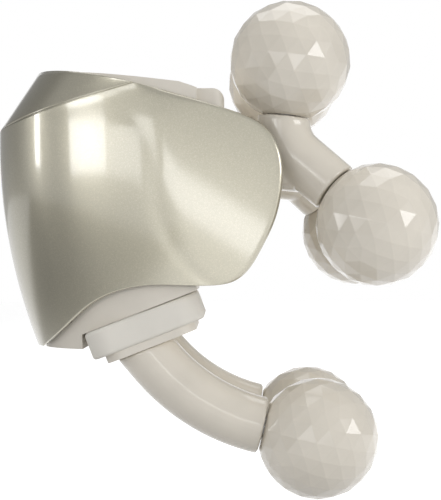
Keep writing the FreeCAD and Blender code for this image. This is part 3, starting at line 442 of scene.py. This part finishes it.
# Rounded rim, with the places of its points as shares of its radius from the edge
RIM_RADIUS = 1.4
RIM_STEPS = (0.75, 0.5, 0.3, 0.16, 0.07, 0.02, 0.0)
RIM_FADE_ROWS = 10
# How the brow's crease is rounded off towards the wings
FADE_START = -12.0
FADE_RUN = 30.0
FADE_REACH = 16.0
FADE_TURNS = 60
FADE_PULL = 0.6
# Fineness of the skin's mesh
SHELL_ROWS = 150
HALF_COLUMNS = 90
BEVEL_LEVELS = 14
ROW_SAMPLES = 240
HALVINGS = 40
SEAM = 0.02
SLIVER = 0.005


def nose_tip(z):
    return NOSE_X + NOSE_RECESS * max(0.0, (NOSE_Z - z) / NOSE_Z) ** NOSE_POWER


def side_reach(z):
    return HALF_WIDTH - CROWN * ((z - CROWN_Z) / CROWN_Z) ** 2


def above_brow(x, z):
    return z - BROW_Z - (x - NOSE_X) * BROW_RISE


def valley_x(z):
    """Where the shallow valley between the cheek and the wing passes at a height."""
    for (low_z, low_x), (high_z, high_x) in zip(VALLEY, VALLEY[1:]):
        if z <= high_z:
            share = max(0.0, (z - low_z) / (high_z - low_z))
            return low_x + (high_x - low_x) * share
    return VALLEY[-1][1]


def flank_y(x, z):
    """Half width of the skin at a place in the side view."""
    part = max(0.0, (CHEEK_X - x) / (CHEEK_X - nose_tip(z)))
    inward = WING_INWARD * max(0.0, (x - CHEEK_X) / (WING_END - CHEEK_X)) ** 2
    off_valley = (x - valley_x(z)) / VALLEY_WIDTH
    valley = VALLEY_DEPTH * math.exp(-off_valley ** 2) if x > VALLEY_START_X else 0.0
    return side_reach(z) * max(0.0, 1 - part ** PLAN_POWER) ** (1 / PLAN_POWER) - inward - valley


def skin_row(nose_z, edge, rounding):
    """A line of the skin on the near side, from the nose to the rounded rim at a point of the outline."""
    points = []
    for step in range(ROW_SAMPLES + 1):
        share = (step / ROW_SAMPLES) ** 2
        z = nose_z + (edge[1] - nose_z) * share
        x = nose_tip(z) + (edge[0] - nose_tip(z)) * share
        points.append((x, -flank_y(x, z), z))
    lengths = measured(points)
    flat = HALF_COLUMNS - len(RIM_STEPS)
    to_rim = lengths[-1] - RIM_RADIUS
    row = points_at(points, lengths, [to_rim * step / (flat - 1) for step in range(flat)])
    rim = points_at(points, lengths, [lengths[-1] - RIM_RADIUS * step for step in RIM_STEPS])
    for step, (x, y, z) in zip(RIM_STEPS, rim):
        row.append((x, y + rounding * RIM_RADIUS * (1 - math.sqrt(1 - (1 - step) ** 2)), z))
    return row


def wing_line():
    """Side outline from the brow's end to the base, with its nose heights, and the top edge before it."""
    line = spline([(*BROW_TOP, BROW_Z + NOSE_LIFT)] + WING + [(*WING_TIP, WING_TIP[1])])
    start = next(n for n, (x, z, _) in enumerate(line) if above_brow(x, z) < 0)
    before, after = line[start - 1], line[start]
    over, under = above_brow(*before[:2]), above_brow(*after[:2])
    share = over / (over - under)
    x, z, _ = (a + (b - a) * share for a, b in zip(before, after))
    first = (x, z, BROW_Z)
    return resample([first] + line[start:], SHELL_ROWS), line[:start] + [first]


def brow_angle(x):
    """Angle from the nose, in plan, at which the brow passes a place."""
    share = max(0.0, min(1.0, (CHEEK_X - x) / (CHEEK_X - NOSE_X)))
    return math.acos(share ** (PLAN_POWER / 2))


def plan_point(tip, angle):
    """Place in plan at an angle from the nose, on a curve from a tip to the cheek."""
    x = CHEEK_X - (CHEEK_X - tip) * math.cos(angle) ** (2 / PLAN_POWER)
    return x, -side_reach(BROW_Z) * math.sin(angle) ** (2 / PLAN_POWER)


def brow_point(angle):
    x, y = plan_point(NOSE_X, angle)
    return Vector((x, y, BROW_Z + (x - NOSE_X) * BROW_RISE))


def crest_point(angle):
    crest_z = BROW_Z + (CREST_X - NOSE_X) * BROW_RISE + CREST_LIFT
    tip = BROW_TOP[0] + (crest_z - BROW_TOP[1]) * (BROW_TOP[0] - NOSE_X) / (BROW_TOP[1] - BROW_Z)
    return Vector((*plan_point(tip, angle), crest_z))


def top_edge_z(edge, x):
    """Height of the shell's top edge at a place along it."""
    for a, b in zip(edge, edge[1:]):
        if a[0] <= x <= b[0]:
            return a[1] + (b[1] - a[1]) * (x - a[0]) / (b[0] - a[0])
    return edge[0][1] if x < edge[0][0] else edge[-1][1]


def bevel_column(angle, edge):
    """A line of the bevel from the brow up to the shell's top edge, which is found by halving."""
    low = brow_point(angle)
    high = crest_point(angle)
    near, far = 0.0, 1.0
    for _ in range(HALVINGS):
        middle = (near + far) / 2
        point = low.lerp(high, middle)
        if point.z < top_edge_z(edge, point.x):
            near = middle
        else:
            far = middle
    return [tuple(low.lerp(high, near * step / (BEVEL_LEVELS - 1))) for step in range(BEVEL_LEVELS)]


def mirrored(row):
    """A row from the nose, continued round the nose to the other side."""
    return [(x, -y, z) for x, y, z in reversed(row)] + row[1:]


def grid_faces(rows, columns, start=0):
    """Faces between the points of a grid, which are numbered row by row."""
    faces = []
    for r in range(rows - 1):
        for c in range(columns - 1):
            a = start + r * columns + c
            faces.append((a, a + columns, a + columns + 1, a + 1))
    return faces


def fade_crease(mesh):
    """Rounds the brow's crease more and more towards the wings, until it is gone."""
    band = []
    for vert in mesh.verts:
        x, _, z = vert.co / MM
        share = min(1.0, (x - FADE_START) / FADE_RUN)
        if vert.is_boundary or share <= 0:
            continue
        off = abs(above_brow(x, z)) / (FADE_REACH * share)
        if off < 1:
            near = [edge.other_vert(vert) for edge in vert.link_edges]
            band.append((vert, near, share * (1 - off * off) ** 2))
    for _ in range(FADE_TURNS):
        moved = [sum((other.co for other in near), Vector()) / len(near) for _, near, _ in band]
        for (vert, _, pull), goal in zip(band, moved):
            vert.co = vert.co.lerp(goal, FADE_PULL * pull)


def outer_shell():
    """Rows of skin from the nose to the outline, the bevel above them, and a wall inside both."""
    line, top_edge = wing_line()
    columns = 2 * HALF_COLUMNS - 1
    points = []
    for n, (x, z, nose) in enumerate(line):
        points += mirrored(skin_row(nose, (x, z), min(1.0, n / RIM_FADE_ROWS)))
    faces = grid_faces(SHELL_ROWS, columns)
    faces += grid_faces(BEVEL_LEVELS, columns, len(points))
    brow = skin_row(BROW_Z, line[0][:2], 0.0)
    bevel = [bevel_column(brow_angle(x), top_edge) for x, _, _ in brow]
    for level in reversed(range(BEVEL_LEVELS)):
        points += mirrored([column[level] for column in bevel])
    item = piece("pearl_shell", points, faces, "outer_shell")
    mesh = bmesh.new()
    mesh.from_mesh(item.data)
    bmesh.ops.remove_doubles(mesh, verts=mesh.verts, dist=SEAM * MM)
    bmesh.ops.dissolve_degenerate(mesh, edges=mesh.edges, dist=SLIVER * MM)
    bmesh.ops.recalc_face_normals(mesh, faces=mesh.faces)
    fade_crease(mesh)
    mesh.to_mesh(item.data)
    mesh.free()
    item.data.shade_smooth()
    wall = item.modifiers.new("wall", "SOLIDIFY")
    wall.thickness = SHELL_WALL * MM
    wall.offset = -1.0
    wall.use_even_offset = False
    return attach(item, "housing")


# Soft collar

COLLAR = (31.6, 0.0, 3.75)
COLLAR_TILT = math.radians(21.3)
# Half sizes and corner radius
COLLAR_SIZE = (20.75, 45.0, 9.0)
# Rolled skin from the rim down to the underside, as inset and level
COLLAR_SKIN = [(3.0, 9.7), (1.7, 9.82), (0.9, 9.72), (0.35, 9.4), (0.08, 8.9), (0.0, 8.2), (0.0, 5.0),
               (0.0, 1.3), (0.08, 0.75), (0.3, 0.32), (0.7, 0.08), (1.3, 0.0), (2.8, 0.0)]
# Hole in the floor and hollow above it, as half sizes, corner radius and level
COLLAR_INSIDE = [((14.0, 41.5, 4.5), 0.0), ((14.0, 41.5, 4.5), 1.9), ((17.75, 42.0, 6.0), 2.0),
                 ((17.75, 42.0, 11.0), 9.5)]
CORNER_STEPS = 14
COLLAR_SHARP = 40.0


def collar_point(u, y, w):
    """A point of the collar's tilted frame, in millimetres."""
    cos, sin = math.cos(COLLAR_TILT), math.sin(COLLAR_TILT)
    return (COLLAR[0] + u * cos - w * sin, y, COLLAR[2] + u * sin + w * cos)


def rounded_ring(half_u, half_y, radius, level):
    """A rounded rectangle round the collar at one level."""
    points = []
    for quarter, (u_sign, y_sign) in enumerate(((1, 1), (-1, 1), (-1, -1), (1, -1))):
        for step in range(CORNER_STEPS + 1):
            angle = math.pi / 2 * (quarter + step / CORNER_STEPS)
            points.append(collar_point(u_sign * (half_u - radius) + radius * math.cos(angle),
                                       y_sign * (half_y - radius) + radius * math.sin(angle), level))
    return points


def lower_boot():
    """Soft collar with rolled edges, open to the body and through its floor."""
    half_u, half_y, radius = COLLAR_SIZE
    rings = []
    for inset, level in COLLAR_SKIN:
        rings.append(rounded_ring(half_u - inset, half_y - inset, radius - inset, level))
    for sizes, level in COLLAR_INSIDE:
        rings.append(rounded_ring(*sizes, level))
    count = len(rings[0])
    points = [point for ring in rings for point in ring]
    faces = []
    for r in range(len(rings)):
        for c in range(count):
            here, under = r * count, (r + 1) % len(rings) * count
            faces.append((here + c, here + (c + 1) % count, under + (c + 1) % count, under + c))
    item = piece("soft_collar", points, faces, "lower_boot", COLLAR_SHARP)
    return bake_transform(item)


# Arms

ARMS = ("upper_arm_left", "upper_arm_right", "lower_arm_left", "lower_arm_right")
ARM_VOXEL = 0.6
ARM_FLOW = 0.5
ARM_TURNS = 10


def smooth_cast(name):
    """Flows the joins of a moulded piece into each other and rounds its edges."""
    item = nodes[name]
    skin = item.modifiers.new("skin", "REMESH")
    skin.mode = "VOXEL"
    skin.voxel_size = ARM_VOXEL * MM
    skin.use_smooth_shade = True
    flow = item.modifiers.new("flow", "SMOOTH")
    flow.factor = ARM_FLOW
    flow.iterations = ARM_TURNS


# Faceted balls

BALL_RADIUS = 21.2
BALL_FLAT = 19.4
FACET_STEPS = 4
FACET_SEAM = 0.01
# Lean of the facet rows on each pair of balls, and their turn about that lean, in degrees
FACET_TURNS = {"top": (6.0, -5.2), "mid": (13.0, 3.0), "low": (12.0, -5.2)}
FACET_EDGE = 0.22
FACET_EDGE_ANGLE = 6.0
FACET_EDGE_SEGMENTS = 2


def icosahedron():
    """The twenty faces of an icosahedron of radius 1, each by its three corners."""
    ring_height = 1 / math.sqrt(5)
    ring_radius = 2 / math.sqrt(5)

    def ring(degrees, height):
        angle = math.radians(degrees)
        return Vector((ring_radius * math.cos(angle), ring_radius * math.sin(angle), height))

    upper = [ring(72 * n, ring_height) for n in range(5)]
    lower = [ring(72 * n + 36, -ring_height) for n in range(5)]
    top, bottom = Vector((0, 0, 1)), Vector((0, 0, -1))
    faces = []
    for n in range(5):
        after = (n + 1) % 5
        faces += [(top, upper[n], upper[after]), (upper[n], lower[n], upper[after]),
                  (upper[after], lower[n], lower[after]), (lower[n], bottom, lower[after])]
    return faces


def facets(a, b, c):
    """Triangles that divide one face in equal steps, pushed out to the ball's radius, in metres."""
    def corner(i, j):
        point = a + (b - a) * (i / FACET_STEPS) + (c - a) * (j / FACET_STEPS)
        return point.normalized() * BALL_RADIUS * MM

    triangles = []
    for i in range(FACET_STEPS):
        for j in range(FACET_STEPS - i):
            triangles.append((corner(i, j), corner(i + 1, j), corner(i, j + 1)))
            if i + j < FACET_STEPS - 1:
                triangles.append((corner(i + 1, j), corner(i + 1, j + 1), corner(i, j + 1)))
    return triangles


def ball(name):
    """A geodesic ball of flat triangles with softened edges and a flat neck."""
    joint = joints[name + "_spin"]
    centre = Vector(joint["pos_m"])
    axis = Vector(joint["axis"]).normalized()
    mesh = bmesh.new()
    for face in icosahedron():
        for triangle in facets(*face):
            mesh.faces.new([mesh.verts.new(corner) for corner in triangle])
    bmesh.ops.remove_doubles(mesh, verts=mesh.verts, dist=FACET_SEAM * MM)
    bmesh.ops.recalc_face_normals(mesh, faces=mesh.faces)
    lean, spin = FACET_TURNS[name.split("_")[0]]
    turn = Matrix.Rotation(math.radians(lean), 4, "Y") @ Matrix.Rotation(math.radians(spin), 4, "Z")
    bmesh.ops.transform(mesh, matrix=Matrix.Translation(centre) @ turn, verts=mesh.verts)
    neck = centre - axis * BALL_FLAT * MM
    whole = mesh.verts[:] + mesh.edges[:] + mesh.faces[:]
    bmesh.ops.bisect_plane(mesh, geom=whole, plane_co=neck, plane_no=-axis, clear_outer=True)
    rim = [edge for edge in mesh.edges if edge.is_boundary]
    bmesh.ops.contextual_create(mesh, geom=rim)
    bmesh.ops.recalc_face_normals(mesh, faces=mesh.faces)
    data = bpy.data.meshes.new(name + "_facets")
    mesh.to_mesh(data)
    mesh.free()
    item = dress(name + "_facets", data, name)
    soften(item, FACET_EDGE, FACET_EDGE_ANGLE, FACET_EDGE_SEGMENTS)
    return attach(item, name)


# Camera, light and stage, in metres

# The camera stands on the right of the object and looks along Y
CAMERA_PLACE = (0.055, -0.593, 0.027)
CAMERA_SHIFT = (0.007, 0.044)
SENSOR_WIDTH = 36.0
LENS = 115.2
CLIP_START = 0.01
PLAIN_WHITE = (1.0, 1.0, 1.0, 1.0)
AIM = (0.03, 0.0, 0.05)
# Name, degrees to the right of the camera, degrees above it, distance, turn, width, height and power
LAMPS = (
    ("key", -41.0, 9.1, 0.9, 4.0, 0.33, 0.15, 0.62),
    ("key_side", -21.0, 8.8, 0.95, 0.0, 0.29, 0.14, 0.22),
    ("strip", -78.0, 9.0, 0.8, 0.0, 0.07, 0.15, 0.24),
    ("front", 3.0, 1.4, 1.1, -25.0, 0.50, 0.095, 0.38),
    ("right", 58.0, 11.5, 1.0, 0.0, 0.5, 0.24, 1.9),
    ("top", 180.0, 76.0, 1.2, 0.0, 1.1, 0.9, 4.4),
)
# The room's levels by direction: two places on an axis, and the level at each
ROOM_SIDE = (-0.75, 0.0, 0.7, 1.0)
ROOM_ABOVE = (0.0, 0.35, 1.0, 0.64)
BACK_LIGHT = (0.0, 0.6, 0.0, 0.4)
FLAGS = (-0.1, 0.3, 1.0, 0.5)
BACKDROP = (0.86, 0.97, 0.0, 1.0)
# The floor's levels in the same form: painted shade that darkens its colour towards the left, and a painted
# reflection glow, dark on the left and bright behind; then its place under the lower balls, with room for their
# swing
FLOOR_PAINTED_SHADE = (-0.35, 0.1, 0.2, 0.55)
FLOOR_PAINTED_REFLECTION_SIDE = (-0.3, 0.0, 0.0, 0.7)
FLOOR_PAINTED_REFLECTION_BACK = (0.05, 0.25, 0.0, 0.8)
FLOOR_GLOW = (0.0, 1.0, 0.0, 0.82)
FLOOR_UNEVEN = (0.97, 1.03)
FLOOR_UNEVEN_SCALE = 3.0
FLOOR_SOCKETS = {"Roughness": 0.9, "Specular IOR Level": 0.1, "Emission Color": PLAIN_WHITE}
FLOOR_REACH = 4.0
FLOOR_DROP = 0.0075


def camera():
    scene = bpy.context.scene
    scene.view_settings.view_transform = "Standard"
    data = bpy.data.cameras.new("camera")
    data.sensor_width = SENSOR_WIDTH
    data.lens = LENS
    data.shift_x, data.shift_y = CAMERA_SHIFT
    data.clip_start = CLIP_START
    item = add_object("camera", data)
    item.location = CAMERA_PLACE
    item.rotation_euler = (math.radians(90), 0, 0)
    scene.camera = item


def room():
    """White surroundings, graded for light and for reflections, and plain white to the camera."""
    world = bpy.data.worlds.new("studio")
    bpy.context.scene.world = world
    world.use_nodes = True
    tree = world.node_tree
    light = tree.nodes["Background"]
    light.inputs["Color"].default_value = PLAIN_WHITE
    place = tree.nodes.new("ShaderNodeTexCoord")
    x, y, z = axes_of(tree, place.outputs["Generated"])
    side = smooth_range(tree, x, *ROOM_SIDE)
    walls = arithmetic(tree, "MULTIPLY", side, smooth_range(tree, z, *ROOM_ABOVE))
    lit = arithmetic(tree, "ADD", walls, smooth_range(tree, y, *BACK_LIGHT))
    flagged = arithmetic(tree, "MULTIPLY", walls, smooth_range(tree, y, *FLAGS))
    reflected = arithmetic(tree, "MAXIMUM", flagged, smooth_range(tree, y, *BACKDROP))
    seen, glossy = ray_kinds(tree)
    by_ray = tree.nodes.new("ShaderNodeMix")
    tree.links.new(glossy, by_ray.inputs["Factor"])
    tree.links.new(lit, by_ray.inputs["A"])
    tree.links.new(reflected, by_ray.inputs["B"])
    level = tree.nodes.new("ShaderNodeMix")
    level.inputs["B"].default_value = 1.0
    tree.links.new(seen, level.inputs["Factor"])
    tree.links.new(by_ray.outputs["Result"], level.inputs["A"])
    tree.links.new(level.outputs["Result"], light.inputs["Strength"])


def lamps():
    for name, azimuth, elevation, distance, turn, width, height, power in LAMPS:
        light = bpy.data.lights.new(name, "AREA")
        light.shape = "RECTANGLE"
        light.size = width
        light.size_y = height
        light.energy = power
        item = add_object(name, light)
        around, up = math.radians(azimuth), math.radians(elevation)
        away = Vector((math.cos(up) * math.sin(around), -math.cos(up) * math.cos(around), math.sin(up)))
        item.location = Vector(AIM) + away * distance
        aim = (-away).to_track_quat("-Z", "Y").to_matrix().to_4x4()
        item.rotation_euler = (aim @ Matrix.Rotation(math.radians(turn), 4, "Z")).to_euler()


def floor():
    """Floor under the lowest balls, white to the camera where no shadow falls; its colour darkens towards the left
    as painted shade, and its glow in reflections is a painted reflection, dark on the left and bright behind and
    on the right.
    """
    low = cad_box[0][2] - FLOOR_DROP
    corners = [(FLOOR_REACH * x, FLOOR_REACH * y, low) for x, y in ((-1, -1), (1, -1), (1, 1), (-1, 1))]
    mesh = bpy.data.meshes.new("floor")
    mesh.from_pydata(corners, [], [(0, 1, 2, 3)])
    item = add_object("floor", mesh)
    material, tree, shader, place = new_material("floor")
    set_sockets(shader, FLOOR_SOCKETS)
    x, y, _ = axes_of(tree, place)
    uneven = spread(tree, noise(tree, place, FLOOR_UNEVEN_SCALE), *FLOOR_UNEVEN)
    # Painted shade: the floor's colour darkens towards the left, with random unevenness on top
    shade = arithmetic(tree, "MULTIPLY", smooth_range(tree, x, *FLOOR_PAINTED_SHADE), uneven)
    tree.links.new(shade, shader.inputs["Base Color"])
    seen, glossy = ray_kinds(tree)
    # Painted reflection: the floor glows in reflections, dark on the left and bright behind and on the right
    graded = arithmetic(tree, "MAXIMUM", smooth_range(tree, x, *FLOOR_PAINTED_REFLECTION_SIDE),
                        smooth_range(tree, y, *FLOOR_PAINTED_REFLECTION_BACK))
    reflected = arithmetic(tree, "MULTIPLY", glossy, graded)
    glow = smooth_range(tree, arithmetic(tree, "MAXIMUM", seen, reflected), *FLOOR_GLOW)
    tree.links.new(glow, shader.inputs["Emission Strength"])
    mesh.materials.append(material)
    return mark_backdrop(item)


# Width of the rounded edges of parts that keep their own shape
EDGES = {"front_cover": 0.8, "top_panel": 0.4, "power_button": 0.3, "lower_yoke": 0.4}

for node_name, node in nodes.items():
    node.data.materials.clear()
    node.data.materials.append(LOOKS[SLOTS[node_name]])
outer_shell()
lower_boot()
for arm_name in ARMS:
    smooth_cast(arm_name)
for body_name in bodies:
    if "_ball_" in body_name:
        ball(body_name)
for node_name, edge_width in EDGES.items():
    soften(nodes[node_name], edge_width)
floor()
camera()
room()
lamps()
